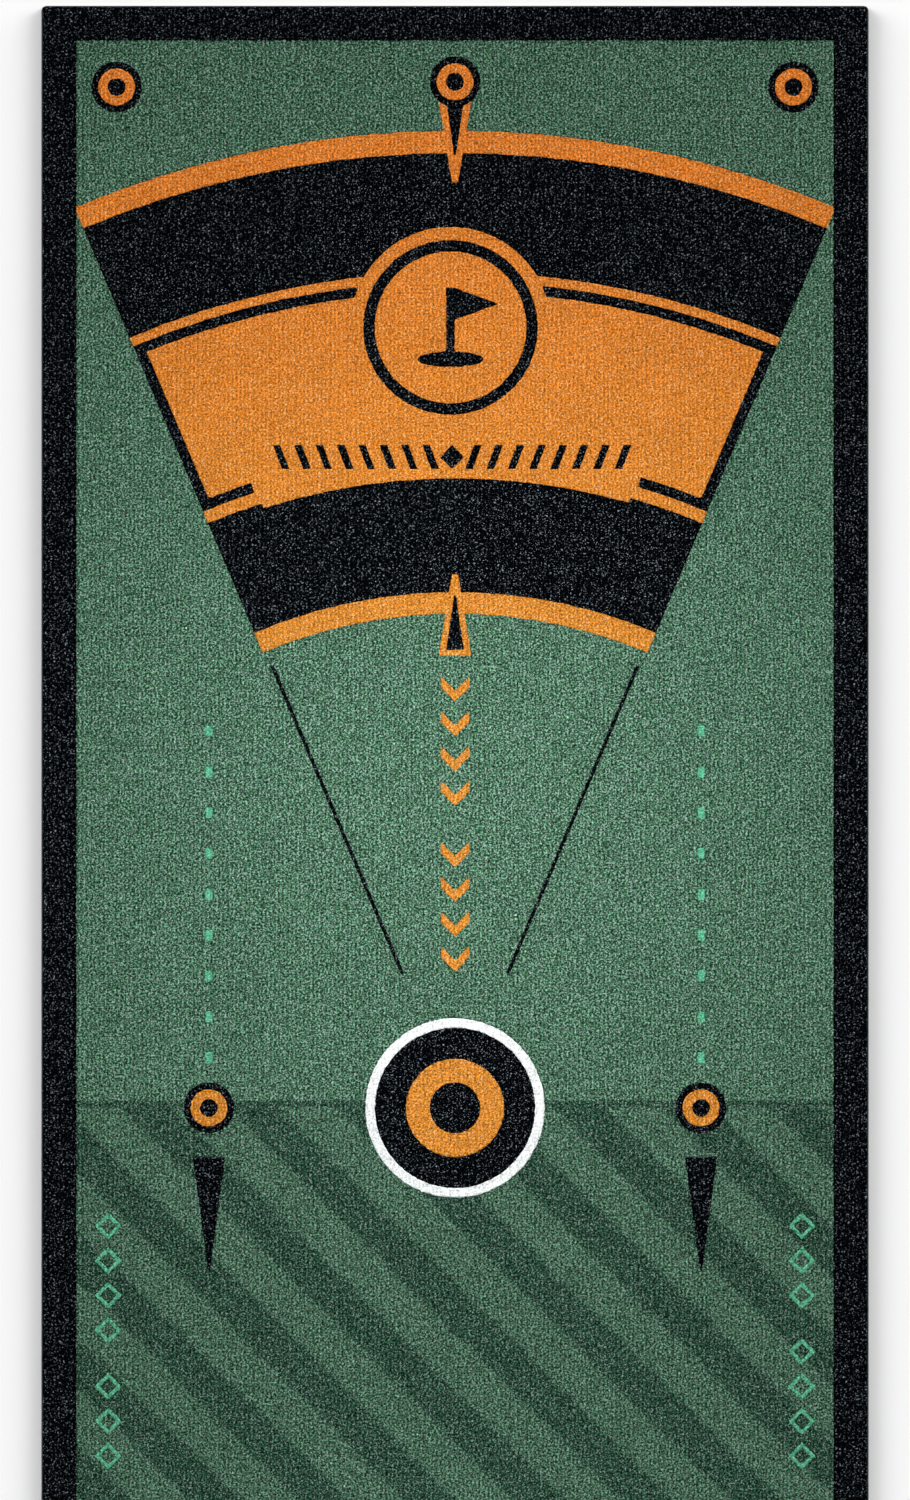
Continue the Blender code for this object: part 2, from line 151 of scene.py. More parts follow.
def calendered_rubber():
    """Matt black rubber with a faint mottle and the pits that calendering leaves."""
    material, tree, shader = new_material("nitrile_rubber", 0.7)
    place = tree.nodes.new("ShaderNodeTexCoord")
    mottle = add_node(tree, "ShaderNodeTexNoise", Scale=90.0, Detail=3.0)
    pits = add_node(tree, "ShaderNodeTexNoise", Scale=1800.0, Detail=2.0)
    shade = tree.nodes.new("ShaderNodeValToRGB")
    shade.color_ramp.elements[0].color = (0.011, 0.011, 0.012, 1.0)
    shade.color_ramp.elements[1].color = (0.034, 0.034, 0.035, 1.0)
    gloss = add_node(tree, "ShaderNodeMapRange", To_Min=0.58, To_Max=0.82)
    bump = add_node(tree, "ShaderNodeBump", Strength=0.4, Distance=0.0001)
    for texture in (mottle, pits):
        tree.links.new(place.outputs["Object"], texture.inputs["Vector"])
    tree.links.new(mottle.outputs["Fac"], shade.inputs["Fac"])
    tree.links.new(mottle.outputs["Fac"], gloss.inputs["Value"])
    tree.links.new(pits.outputs["Fac"], bump.inputs["Height"])
    tree.links.new(shade.outputs["Color"], shader.inputs["Base Color"])
    tree.links.new(gloss.outputs["Result"], shader.inputs["Roughness"])
    tree.links.new(bump.outputs["Normal"], shader.inputs["Normal"])
    return material


half_rib = RIB_PITCH / 2
backing = merged_copy("rubber_backing")
underside = [face for face in backing.faces if face.normal.z < -0.9]
slice_faces(backing, underside, 1, even_planes(cad_low.y, cad_high.y, half_rib))
for vert in backing.verts:
    halves = round(vert.co.y / half_rib)
    on_plane = abs(vert.co.y - halves * half_rib) < WELD
    if vert.co.z < WELD and on_plane and halves % 2:
        vert.co.z += RIB_HEIGHT
finished(backing, "rubber_sheet", calendered_rubber(), "nitrile_rubber", "rubber_backing")
rubber_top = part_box("rubber_backing")[1].z


# ---------------------------------------------------------------- Tuft carrier
# The thin non-woven cloth that the tufts are stitched through, bonded to the rubber. Only its
# cut edge shows, as a grey line under the pile, a little frayed.

CARRIER_CLEARANCE = 0.00003
FRAY_PITCH = 0.0026
FRAY = 0.00012


def non_woven_cloth():
    """Grey felted fibres, matt, with a short wandering grain."""
    material, tree, shader = new_material("carrier_cloth", 0.9)
    place = tree.nodes.new("ShaderNodeTexCoord")
    felt = add_node(tree, "ShaderNodeTexNoise", Scale=1400.0, Detail=4.0, Distortion=1.5)
    shade = tree.nodes.new("ShaderNodeValToRGB")
    shade.color_ramp.elements[0].color = (0.07, 0.07, 0.068, 1.0)
    shade.color_ramp.elements[1].color = (0.20, 0.20, 0.19, 1.0)
    bump = add_node(tree, "ShaderNodeBump", Strength=0.6, Distance=0.0001)
    tree.links.new(place.outputs["Object"], felt.inputs["Vector"])
    tree.links.new(felt.outputs["Fac"], shade.inputs["Fac"])
    tree.links.new(felt.outputs["Fac"], bump.inputs["Height"])
    tree.links.new(shade.outputs["Color"], shader.inputs["Base Color"])
    tree.links.new(bump.outputs["Normal"], shader.inputs["Normal"])
    return material


cloth_low, cloth_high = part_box("tuft_carrier")
pile_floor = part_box("border_left")[0].z
cloth = merged_copy("tuft_carrier")
for vert in cloth.verts:
    is_top = vert.co.z > (cloth_low.z + cloth_high.z) / 2
    vert.co.z = pile_floor - CARRIER_CLEARANCE if is_top else rubber_top + CARRIER_CLEARANCE
for axis in (0, 1):
    cut_edges = [face for face in cloth.faces if abs(face.normal.z) < 0.5]
    planes = even_planes(cloth_low[axis], cloth_high[axis], FRAY_PITCH)
    slice_faces(cloth, cut_edges, axis, planes)
fraying = np.random.default_rng(11)
for vert, draw in zip(cloth.verts, fraying.random(len(cloth.verts))):
    for axis in (0, 1):
        if cloth_high[axis] - abs(vert.co[axis]) < WELD:
            vert.co[axis] -= math.copysign(FRAY * draw, vert.co[axis])
carrier = finished(cloth, "carrier_cloth", non_woven_cloth(), "carrier_cloth", "tuft_carrier")


# ---------------------------------------------------------------- Pile of the border strips
# Short, dense nylon tufts stitched in columns along the mat, sheared level, then dyed by a print
# head. Each tuft is a small blunt peak between sunk seams. The border is dyed black.

GAUGE = 0.00258
ROW_PITCH = 0.0020
STAGGER = 0.00045
SEAM_DEPTH = 0.0010
TIP_UNEVEN = 0.00025
EDGE_DEPTH = 0.0006
SEAM_SWING = 0.35
EDGE_SWING = 0.4
LEAN = 0.00040
DYE_BLEED = 0.00030
HALF_GAP = 0.00015
FULL_RING = 0.0013
LONGEST_MITER = 2.5
WALL_ON_MAP = 0.25
MAP_NAME = "OFBake"
MAP_MARGIN = 0.01
MAP_STRETCH = 4
WANDER_WAVES = ((2210.0, 940.0, 1.0), (-1190.0, 1870.0, 2.3), (3050.0, -2480.0, 4.1))

pile_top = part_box("border_left")[1].z
tuft_draws = np.random.default_rng(5)


def is_crown(face):
    """True on the level top of the pile."""
    return face.normal.z > 0.5


def is_wall(face):
    """True on an upright side of the pile."""
    return abs(face.normal.z) < 0.5


def close_gap(bm):
    """Moves the walls of a zone out by half the gap between zones, so that neighbours meet."""
    moves = []
    for vert in bm.verts:
        sides = [face.normal for face in vert.link_faces if is_wall(face)]
        if not sides:
            continue
        one = sides[0]
        other = min(sides, key=one.dot)
        middle = (one + other).normalized()
        miter = 1.0 / max(middle.dot(one), 1.0 / LONGEST_MITER)
        moves.append((vert, middle * HALF_GAP * miter))
    for vert, move in moves:
        vert.co += move


def wander(x, y, phase):
    """A smooth, repeatable wander from -1 to 1, with a reach of a few tufts."""
    total = sum(math.sin(on_x * x + on_y * y + turn * phase) for on_x, on_y, turn in WANDER_WAVES)
    return total / len(WANDER_WAVES)


def on_seam(edge):
    """True if an edge lies on one of the planes that divide the tufts."""
    one, other = (vert.co for vert in edge.verts)
    for axis, pitch in ((0, GAUGE), (1, ROW_PITCH)):
        off_plane = abs(one[axis] - round(one[axis] / pitch) * pitch)
        if off_plane < WELD and abs(one[axis] - other[axis]) < WELD:
            return True
    return False


def grow_tufts(bm):
    """Divides the top of a solid into tufts, sinks the seams and lifts and leans the tips."""
    for axis, pitch in ((0, GAUGE), (1, ROW_PITCH)):
        bm.normal_update()
        upper = [face for face in bm.faces if face.normal.z > -0.5]
        low = min(vert.co[axis] for vert in bm.verts)
        high = max(vert.co[axis] for vert in bm.verts)
        slice_faces(bm, upper, axis, even_planes(low, high, pitch))
    bm.normal_update()
    inner = [edge for edge in bm.edges if len(edge.link_faces) == 2 and not on_seam(edge)]
    inner = [edge for edge in inner if all(is_crown(face) for face in edge.link_faces)]
    bmesh.ops.dissolve_edges(bm, edges=inner, use_verts=True, use_face_split=False)
    bm.normal_update()
    crown = [face for face in bm.faces if is_crown(face)]
    on_edge = {vert for face in bm.faces if is_wall(face) for vert in face.verts}
    tips = bmesh.ops.poke(bm, faces=crown)["verts"]
    is_tip = set(tips)
    for vert in bm.verts:
        if vert in is_tip or vert.co.z < pile_top - SEAM_DEPTH / 2:
            continue
        x, y = vert.co.x, vert.co.y
        if vert in on_edge:
            vert.co.x += DYE_BLEED * wander(x, y, 1.0)
            vert.co.y += DYE_BLEED * wander(x, y, 2.0)
            vert.co.z -= EDGE_DEPTH * (1.0 + EDGE_SWING * wander(x, y, 3.0))
        else:
            column = round(x / GAUGE)
            vert.co.x += LEAN * wander(x, y, 4.0)
            vert.co.y += STAGGER * (1 if column % 2 else -1) + LEAN * wander(x, y, 5.0)
            vert.co.z -= SEAM_DEPTH * (1.0 + SEAM_SWING * wander(x, y, 6.0))
    for tip, draw in zip(tips, tuft_draws.random((len(tips), 3))):
        ring = [edge.other_vert(tip) for edge in tip.link_edges]
        reach = sum((vert.co.xy - tip.co.xy).length for vert in ring) / len(ring)
        share = min(1.0, reach / FULL_RING)
        level = sum(vert.co.z for vert in ring) / len(ring)
        centre = sum((vert.co for vert in ring), Vector()) / len(ring)
        tip.co.x = centre.x + LEAN * share * (2.0 * draw[0] - 1.0)
        tip.co.y = centre.y + LEAN * share * (2.0 * draw[1] - 1.0)
        full_height = pile_top + TIP_UNEVEN * (2.0 * draw[2] - 1.0)
        tip.co.z = level + (full_height - level) * share


def lay_out_map(bm):
    """A flat map of the piece from above. A long strip is folded into rows that fill the map."""
    low_x = min(vert.co.x for vert in bm.verts)
    low_y = min(vert.co.y for vert in bm.verts)
    width = max(vert.co.x for vert in bm.verts) - low_x
    length = max(vert.co.y for vert in bm.verts) - low_y
    along = 0 if width > length else 1
    size = (width, length)
    rows = max(1, round(math.sqrt(size[along] / size[1 - along] / MAP_STRETCH)))
    stretch = size[along] / rows
    layer = bm.loops.layers.uv.new(MAP_NAME)
    low = (low_x, low_y)
    for face in bm.faces:
        out = face.normal if is_wall(face) else Vector((0.0, 0.0, 0.0))
        row = min(rows - 1, int((face.calc_center_median()[along] - low[along]) / stretch))
        for loop in face.loops:
            spot = loop.vert.co + out * WALL_ON_MAP * (pile_top - loop.vert.co.z)
            far = (spot[along] - low[along]) / stretch - row
            across = (spot[1 - along] - low[1 - along]) / size[1 - along]
            far = MAP_MARGIN + (1 - 2 * MAP_MARGIN) * far
            across = (row + MAP_MARGIN + (1 - 2 * MAP_MARGIN) * across) / rows
            loop[layer].uv = (far, across)


def pile_piece(bm, name, material, slot, *nodes):
    """Grows the tufts on a closed, flat-topped solid and makes it a piece of the mat."""
    grow_tufts(bm)
    bm.normal_update()
    lay_out_map(bm)
    for face in bm.faces:
        face.smooth = face.normal.z > -0.5
    return finished(bm, name, material, slot, *nodes)


def zone_of_pile(node, material, slot):
    """A CAD zone as it stands, with tufts."""
    bm = merged_copy(node)
    close_gap(bm)
    return pile_piece(bm, "pile_" + node, material, slot, node)


def add_math(tree, operation, *values):
    """A math node's result. Each value is a number or another node's output."""
    node = tree.nodes.new("ShaderNodeMath")
    node.operation = operation
    for number, value in enumerate(values):
        if isinstance(value, (int, float)):
            node.inputs[number].default_value = value
        else:
            tree.links.new(value, node.inputs[number])
    return node.outputs["Value"]


FLAT_FIBRES = (1.0, 1.0, 0.35)
PALE_END_GLINT_SHIFT = (3.1, 1.7, 0.0)
PATTERN_ROW = 0.0029
COLUMN_SWERVE = 9.0
ROW_SWERVE = 14.0
BROAD_LEAST = 0.85
BROAD_SWING = 0.3
# How often and how sharply the pale fibre ends show, painted brighter as glints of fibre sheen.
PALE_END_GLINT_FLOOR = 0.72
PALE_END_GLINT_REACH = 0.25
PALE_END_GLINT_ON_COLUMN = 0.05
PALE_END_GLINT_EDGE = 7.0


def fibre_group():
    """What every dyed tuft shares: the tone of the cut fibre ends, the columns, and pale fibre ends
    painted brighter as glints of fibre sheen.
    """
    group = bpy.data.node_groups.new("cut_fibres", "ShaderNodeTree")
    for name in ("Contrast", "Pale End Glint Share", "Column Depth"):
        group.interface.new_socket(name, in_out="INPUT", socket_type="NodeSocketFloat")
    for name in ("Shade", "Pale End Glint", "Height"):
        group.interface.new_socket(name, in_out="OUTPUT", socket_type="NodeSocketFloat")
    start = group.nodes.new("NodeGroupInput")
    end = group.nodes.new("NodeGroupOutput")
    place = group.nodes.new("ShaderNodeTexCoord")
    flat = add_node(group, "ShaderNodeMapping", Scale=FLAT_FIBRES)
    shifted = add_node(group, "ShaderNodeMapping", Location=PALE_END_GLINT_SHIFT)
    ends = add_node(group, "ShaderNodeTexNoise", Scale=860.0, Detail=1.0, Roughness=0.6)
    pale_end_glint_noise = add_node(group, "ShaderNodeTexNoise", Scale=1200.0, Detail=1.0, Roughness=0.5)
    broad = add_node(group, "ShaderNodeTexNoise", Scale=26.0, Detail=3.0)
    worms = add_node(group, "ShaderNodeTexNoise", Scale=210.0, Detail=1.0)
    group.links.new(place.outputs["Object"], flat.inputs["Vector"])
    group.links.new(flat.outputs["Vector"], shifted.inputs["Vector"])
    group.links.new(shifted.outputs["Vector"], pale_end_glint_noise.inputs["Vector"])
    for texture in (ends, broad, worms):
        group.links.new(flat.outputs["Vector"], texture.inputs["Vector"])

    # The columns of stitches swerve a little, and each one fades and returns along the mat.
    apart = group.nodes.new("ShaderNodeSeparateXYZ")
    group.links.new(flat.outputs["Vector"], apart.inputs["Vector"])
    waves = []
    for output, pitch, swerve in (("X", GAUGE, COLUMN_SWERVE), ("Y", PATTERN_ROW, ROW_SWERVE)):
        turns = add_math(group, "MULTIPLY", apart.outputs[output], 2.0 * math.pi / pitch)
        bend = add_math(group, "MULTIPLY", worms.outputs["Fac"], swerve)
        waves.append(add_math(group, "COSINE", add_math(group, "ADD", turns, bend)))
    rows = add_math(group, "ADD", add_math(group, "MULTIPLY", waves[1], 0.5), 0.5)
    columns = add_math(group, "MULTIPLY", waves[0], rows)

    # The tone swings both ways from one, by the fibre ends, the columns and a broad drift.
    tone = add_math(group, "MULTIPLY", ends.outputs["Fac"], 2.0)
    tone = add_math(group, "POWER", tone, start.outputs["Contrast"])
    drift = add_math(group, "MULTIPLY", broad.outputs["Fac"], BROAD_SWING)
    ridge = add_math(group, "MULTIPLY", columns, start.outputs["Column Depth"])
    even = add_math(group, "ADD", add_math(group, "ADD", drift, BROAD_LEAST), ridge)
    group.links.new(add_math(group, "MULTIPLY", tone, even), end.inputs["Shade"])

    # A pale fibre end, painted brighter as a glint of fibre sheen (a painted highlight), shows where
    # its own noise is highest, and more often on a column.
    above = add_math(group, "SUBTRACT", pale_end_glint_noise.outputs["Fac"], PALE_END_GLINT_FLOOR)
    wanted = add_math(group, "MULTIPLY", start.outputs["Pale End Glint Share"], PALE_END_GLINT_REACH)
    above = add_math(group, "ADD", above, wanted)
    above = add_math(group, "ADD", above, add_math(group, "MULTIPLY", columns, PALE_END_GLINT_ON_COLUMN))
    clear = add_math(group, "MINIMUM", add_math(group, "MULTIPLY", above, PALE_END_GLINT_EDGE), 1.0)
    group.links.new(add_math(group, "MAXIMUM", clear, 0.0), end.inputs["Pale End Glint"])
    group.links.new(ends.outputs["Fac"], end.inputs["Height"])
    return group


cut_fibres = fibre_group()


def dyed_pile(name, dye, pale_end_glint, contrast, pale_end_glint_share, column_depth, pattern=None):
    """Dyed nylon, with pale fibre ends painted brighter as glints of fibre sheen. A pattern, if given,
    makes the dye's colour by place: the stripes are print, the orange's change along the mat is
    painted light.
    """
    material, tree, shader = new_material(name, 0.95)
    fibres = tree.nodes.new("ShaderNodeGroup")
    fibres.node_tree = cut_fibres
    fibres.inputs["Contrast"].default_value = contrast
    fibres.inputs["Pale End Glint Share"].default_value = pale_end_glint_share
    fibres.inputs["Column Depth"].default_value = column_depth
    shaded = tree.nodes.new("ShaderNodeVectorMath")
    shaded.operation = "SCALE"
    shaded.inputs["Vector"].default_value = dye
    if pattern:
        tree.links.new(pattern(tree), shaded.inputs["Vector"])
    # Pale fibre ends mixed into the colour, partly paler fibre and partly a painted glint of fibre
    # sheen.
    pale_end_glinted = tree.nodes.new("ShaderNodeMix")
    pale_end_glinted.data_type = "RGBA"
    pale_end_glinted.inputs["B"].default_value = (*pale_end_glint, 1.0)
    rough = add_node(tree, "ShaderNodeMapRange", To_Min=0.98, To_Max=0.7)
    bump = add_node(tree, "ShaderNodeBump", Strength=0.5, Distance=0.0004)
    tree.links.new(fibres.outputs["Shade"], shaded.inputs["Scale"])
    tree.links.new(shaded.outputs["Vector"], pale_end_glinted.inputs["A"])
    tree.links.new(fibres.outputs["Pale End Glint"], pale_end_glinted.inputs["Factor"])
    tree.links.new(pale_end_glinted.outputs["Result"], shader.inputs["Base Color"])
    tree.links.new(fibres.outputs["Height"], rough.inputs["Value"])
    tree.links.new(rough.outputs["Result"], shader.inputs["Roughness"])
    tree.links.new(fibres.outputs["Height"], bump.inputs["Height"])
    tree.links.new(bump.outputs["Normal"], shader.inputs["Normal"])
    # Almost no real shine: the sheen of the fibres is painted into the colour as glints instead.
    shader.inputs["Specular IOR Level"].default_value = 0.01
    return material


# Black pile, whose pale ends are painted glints of fibre sheen on the black.
black_dye = dyed_pile(
    "black_pile",
    dye=(0.0003, 0.0006, 0.0011),
    pale_end_glint=(0.215, 0.250, 0.285),
    contrast=4.0,
    pale_end_glint_share=0.39,
    column_depth=0.5,
)

for side in ("left", "right", "head", "foot"):
    zone_of_pile("border_" + side, black_dye, "black_pile")


# ---------------------------------------------------------------- Print marks
# Marks too small and too many to be zones of their own: dashes, chevrons, open diamonds and
# bars. Each is a group of tufts that takes the place of the ground's where it is printed.

CUT_PAST_PILE = 2.0
RANK_PER_METRE = 1000.0


def add_bar(bm, x, y, width, length, slant=0.0):
    """A printed bar, leaning by slant from its foot to its head."""
    place = Matrix.Translation((x, y, pile_top)) @ Matrix.Diagonal((width, length, 1.0, 1.0))
    lean = Matrix.Identity(4)
    lean[0][1] = slant / width
    bmesh.ops.create_grid(bm, x_segments=1, y_segments=1, size=0.5, matrix=place @ lean)


def add_diamond(bm, x, y, half, stroke=0.0):
    """A square on its corner, open in the middle if it has a stroke."""
    place = Matrix.Translation((x, y, pile_top))
    ring = bmesh.ops.create_circle(bm, cap_ends=True, segments=4, radius=half, matrix=place)
    if stroke:
        face = ring["verts"][0].link_faces[0]
        bmesh.ops.inset_individual(bm, faces=[face], thickness=stroke, use_even_offset=True)
        bmesh.ops.delete(bm, geom=[face], context="FACES")


def add_chevron(bm, x, y, half, rise, stroke):
    """An arrow head that points down the mat, to the target."""
    tall = stroke / math.sqrt(2.0)
    foot = [bm.verts.new((x, y - rise / 2 + up, pile_top)) for up in (-tall, tall)]
    for side in (-half, half):
        head = [bm.verts.new((x + side, y + rise / 2 + up, pile_top)) for up in (tall, -tall)]
        bmesh.ops.contextual_create(bm, geom=foot + head)


def put_walls_in_order(bm):
    """Orders the upright edges and faces by place. An extrusion leaves them in chance order."""
    for elements in (bm.edges, bm.faces):
        elements.index_update()

        def rank(element):
            heights = [vert.co.z for vert in element.verts]
            if max(heights) - min(heights) < WELD:
                return element.index
            middle = sum((vert.co for vert in element.verts), Vector()) / len(heights)
            return len(elements) + RANK_PER_METRE * (middle.y - cad_low.y) + middle.x - cad_low.x

        elements.sort(key=rank)
        elements.index_update()


def raise_marks(bm):
    """Makes flat marks solid, from the top of the pile down to its floor."""
    bmesh.ops.recalc_face_normals(bm, faces=bm.faces)
    made = bmesh.ops.extrude_face_region(bm, geom=bm.faces[:], use_keep_orig=True)
    lower = [item for item in made["geom"] if isinstance(item, bmesh.types.BMVert)]
    bmesh.ops.translate(bm, verts=lower, vec=(0.0, 0.0, pile_floor - pile_top))
    bmesh.ops.recalc_face_normals(bm, faces=bm.faces)
    put_walls_in_order(bm)
    bm.normal_update()


def in_scene(bm, name):
    """A passing object for the cut."""
    mesh = bpy.data.meshes.new(name)
    bm.to_mesh(mesh)
    held = bpy.data.objects.new(name, mesh)
    bpy.context.scene.collection.objects.link(held)
    return held


def printed_zone(node, ground, ground_slot, *marks):
    """A CAD zone that is cut for the marks printed on it, and the marks, all with tufts."""
    zone = merged_copy(node)
    close_gap(zone)
    blank = in_scene(zone, "blank")
    tools = []
    for bm, name, dye, slot in marks:
        raise_marks(bm)
        taller = bm.copy()
        middle = (pile_top + pile_floor) / 2
        for vert in taller.verts:
            vert.co.z = middle + CUT_PAST_PILE * (vert.co.z - middle)
        tools.append(in_scene(taller, "tool_" + name))
        taller.free()
        cut = blank.modifiers.new(name, "BOOLEAN")
        cut.operation = "DIFFERENCE"
        cut.solver = "EXACT"
        cut.object = tools[-1]
    bpy.context.view_layer.update()
    zone.clear()
    zone.from_object(blank, bpy.context.evaluated_depsgraph_get())
    bmesh.ops.remove_doubles(zone, verts=zone.verts, dist=WELD)
    bmesh.ops.triangulate(zone, faces=zone.faces)
    zone.normal_update()
    for held in [blank] + tools:
        bpy.data.objects.remove(held)
    pile_piece(zone, "pile_" + node, ground, ground_slot, node)
    for bm, name, dye, slot in marks:
        pile_piece(bm, name, dye, slot)


# ---------------------------------------------------------------- Green ground beyond the target
# Dyed one green, with a row of mint dashes on each side and an orange column of chevrons that
# leads from the fan to the target.

def middle_of(node):
    """The middle of a CAD node's box."""
    low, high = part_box(node)
    return (low + high) / 2


target_y = middle_of("target_rim").y
side_x = middle_of("right_marker_halo").x
# Painted light in the orange along the mat: it darkens toward the inner arc and grows redder and
# brighter toward the head, for how the light falls on the fan.
ORANGE_PAINTED_LIGHT_REACH = 0.6
ORANGES_WITH_PAINTED_LIGHT = (
    (0.0, (0.456, 0.165, 0.018)),
    (0.45, (0.405, 0.150, 0.016)),
    (1.0, (0.580, 0.158, 0.018)),
)


def orange_with_painted_light(tree):
    """The orange with painted light: darker round the inner arc than at the target band, and redder
    and brighter toward the head of the mat, for how the light falls on the fan.
    """
    place = tree.nodes.new("ShaderNodeTexCoord")
    apart = tree.nodes.new("ShaderNodeSeparateXYZ")
    along = add_node(tree, "ShaderNodeMapRange", From_Min=target_y, From_Max=target_y + ORANGE_PAINTED_LIGHT_REACH)
    ramp = tree.nodes.new("ShaderNodeValToRGB")
    stops = ramp.color_ramp.elements
    stops.new(ORANGES_WITH_PAINTED_LIGHT[1][0])
    for stop, (position, colour) in zip(stops, ORANGES_WITH_PAINTED_LIGHT):
        stop.position = position
        stop.color = (*colour, 1.0)
    tree.links.new(place.outputs["Object"], apart.inputs["Vector"])
    tree.links.new(apart.outputs["Y"], along.inputs["Value"])
    tree.links.new(along.outputs["Result"], ramp.inputs["Fac"])
    return ramp.outputs["Color"]


green_dye = dyed_pile(
    "green_pile",
    dye=(0.0300, 0.0760, 0.0440),
    pale_end_glint=(0.260, 0.370, 0.320),
    contrast=4.4,
    pale_end_glint_share=0.61,
    column_depth=0.5,
)
mint_dye = dyed_pile(
    "mint_pile",
    dye=(0.075, 0.320, 0.185),
    pale_end_glint=(0.22, 0.46, 0.34),
    contrast=1.5,
    pale_end_glint_share=0.5,
    column_depth=0.2,
)
# Orange pile; its pattern paints light along the mat, darker at the inner arc and redder toward the
# head.
orange_dye = dyed_pile(
    "orange_pile",
    dye=ORANGES_WITH_PAINTED_LIGHT[0][1],
    pale_end_glint=(0.68, 0.44, 0.22),
    contrast=1.5,
    pale_end_glint_share=0.49,
    column_depth=0.25,
    pattern=orange_with_painted_light,
)

DASH_COUNT = 9
DASH_FIRST = 0.0304
DASH_PITCH = 0.02464
DASH_WIDTH = 0.0042
DASH_LENGTH = 0.0066
CHEVRON_HALF = 0.0086
CHEVRON_STROKE = 0.0048
CHEVRON_GROUPS = (0.090, 0.190)
CHEVRONS_IN_GROUP = 4
MARK_PITCH = 0.021

side_dashes = bmesh.new()
for step in range(DASH_COUNT):
    for x in (-side_x, side_x):
        add_bar(side_dashes, x, target_y + DASH_FIRST + step * DASH_PITCH, DASH_WIDTH, DASH_LENGTH)
chevrons = bmesh.new()
for first in CHEVRON_GROUPS:
    for step in range(CHEVRONS_IN_GROUP):
        y = target_y + first + step * MARK_PITCH
        add_chevron(chevrons, 0.0, y, CHEVRON_HALF, CHEVRON_HALF, CHEVRON_STROKE)
zone_of_pile("field_head", green_dye, "green_pile")
printed_zone(
    "field_target",
    green_dye,
    "green_pile",
    (side_dashes, "side_dashes", mint_dye, "mint_pile"),
    (chevrons, "chevrons", orange_dye, "orange_pile"),
)


# ---------------------------------------------------------------- Striped ground before the target
# The first half metre of the lane has darker stripes dyed across it at 45 degrees, under a dark
# line through the target, and a column of open mint diamonds down each side.

STRIPE_PITCH = 0.0462
STRIPE_SHIFT = 0.00705
STRIPE_HALF = 0.01105
STRIPE_SOFT = 0.0036
STRIPES_BEFORE = 100.0
LINE_ABOVE_TARGET = 0.0025
LINE_HALF = 0.0018
LINE_SOFT = 0.0020
DIAMOND_INSET = 0.019
DIAMOND_HALF = 0.0082
DIAMOND_STROKE = 0.0022
DIAMOND_FIRST = 0.0712
DIAMOND_GROUP_GAP = 0.013
DIAMOND_GROUPS = {-1: (4, 3), 1: (3, 4)}
LIGHT_STRIPE = (0.0305, 0.0715, 0.0440)
DARK_STRIPE = (0.0100, 0.0320, 0.0190)


def striped_dye(tree):
    """The light dye and the dark dye, by the distance from the stripes and from the line."""

    def soft_band(distance, half, soft):
        edge = add_node(tree, "ShaderNodeMapRange", From_Min=half + soft / 2, From_Max=half - soft / 2)
        edge.interpolation_type = "SMOOTHSTEP"
        tree.links.new(distance, edge.inputs["Value"])
        return edge.outputs["Result"]

    place = tree.nodes.new("ShaderNodeTexCoord")
    apart = tree.nodes.new("ShaderNodeSeparateXYZ")
    tree.links.new(place.outputs["Object"], apart.inputs["Vector"])
    along = add_math(tree, "ADD", apart.outputs["X"], apart.outputs["Y"])
    start = -target_y - STRIPE_SHIFT * math.sqrt(2.0)
    from_first = add_math(tree, "ADD", along, start)
    turns = add_math(tree, "MULTIPLY", from_first, math.sqrt(0.5) / STRIPE_PITCH)
    share = add_math(tree, "FRACT", add_math(tree, "ADD", turns, STRIPES_BEFORE + 0.5))
    across = add_math(tree, "ABSOLUTE", add_math(tree, "SUBTRACT", share, 0.5))
    stripes = soft_band(across, STRIPE_HALF / STRIPE_PITCH, STRIPE_SOFT / STRIPE_PITCH)
    from_line = add_math(tree, "SUBTRACT", apart.outputs["Y"], target_y + LINE_ABOVE_TARGET)
    line = soft_band(add_math(tree, "ABSOLUTE", from_line), LINE_HALF, LINE_SOFT)
    mixed = tree.nodes.new("ShaderNodeMix")
    mixed.data_type = "RGBA"
    mixed.inputs["A"].default_value = (*LIGHT_STRIPE, 1.0)
    mixed.inputs["B"].default_value = (*DARK_STRIPE, 1.0)
    tree.links.new(add_math(tree, "MAXIMUM", stripes, line), mixed.inputs["Factor"])
    return mixed.outputs["Result"]


striped_green = dyed_pile(
    "striped_green_pile",
    dye=LIGHT_STRIPE,
    pale_end_glint=(0.200, 0.290, 0.240),
    contrast=4.4,
    pale_end_glint_share=0.59,
    column_depth=0.5,
    pattern=striped_dye,
)
diamond_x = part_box("field_striped")[1].x - DIAMOND_INSET
diamonds = bmesh.new()
for side, groups in DIAMOND_GROUPS.items():
    y = target_y - DIAMOND_FIRST
    for count in groups:
        for step in range(count):
            add_diamond(diamonds, side * diamond_x, y, DIAMOND_HALF, DIAMOND_STROKE)
            y -= MARK_PITCH
        y -= DIAMOND_GROUP_GAP
printed_zone(
    "field_striped",
    striped_green,
    "green_pile",
    (diamonds, "side_diamonds", mint_dye, "mint_pile"),
)


# ---------------------------------------------------------------- The lane and its lines
# Plain green from the stripes to the foot, crossed by three darker distance lines and a white
# start line, with mint aiming dashes down the middle.

AIM_PITCH = 0.05
AIM_WIDTH = 0.0042
AIM_LENGTH = 0.0132

shade_dye = dyed_pile(
    "shade_green_pile",
    dye=(0.015, 0.040, 0.025),
    pale_end_glint=(0.200, 0.270, 0.235),
    contrast=4.2,
    pale_end_glint_share=0.60,
    column_depth=0.5,
)
white_dye = dyed_pile(
    "white_pile",
    dye=(0.63, 0.66, 0.66),
    pale_end_glint=(0.80, 0.80, 0.80),
    contrast=0.8,
    pale_end_glint_share=0.6,
    column_depth=0.1,
)

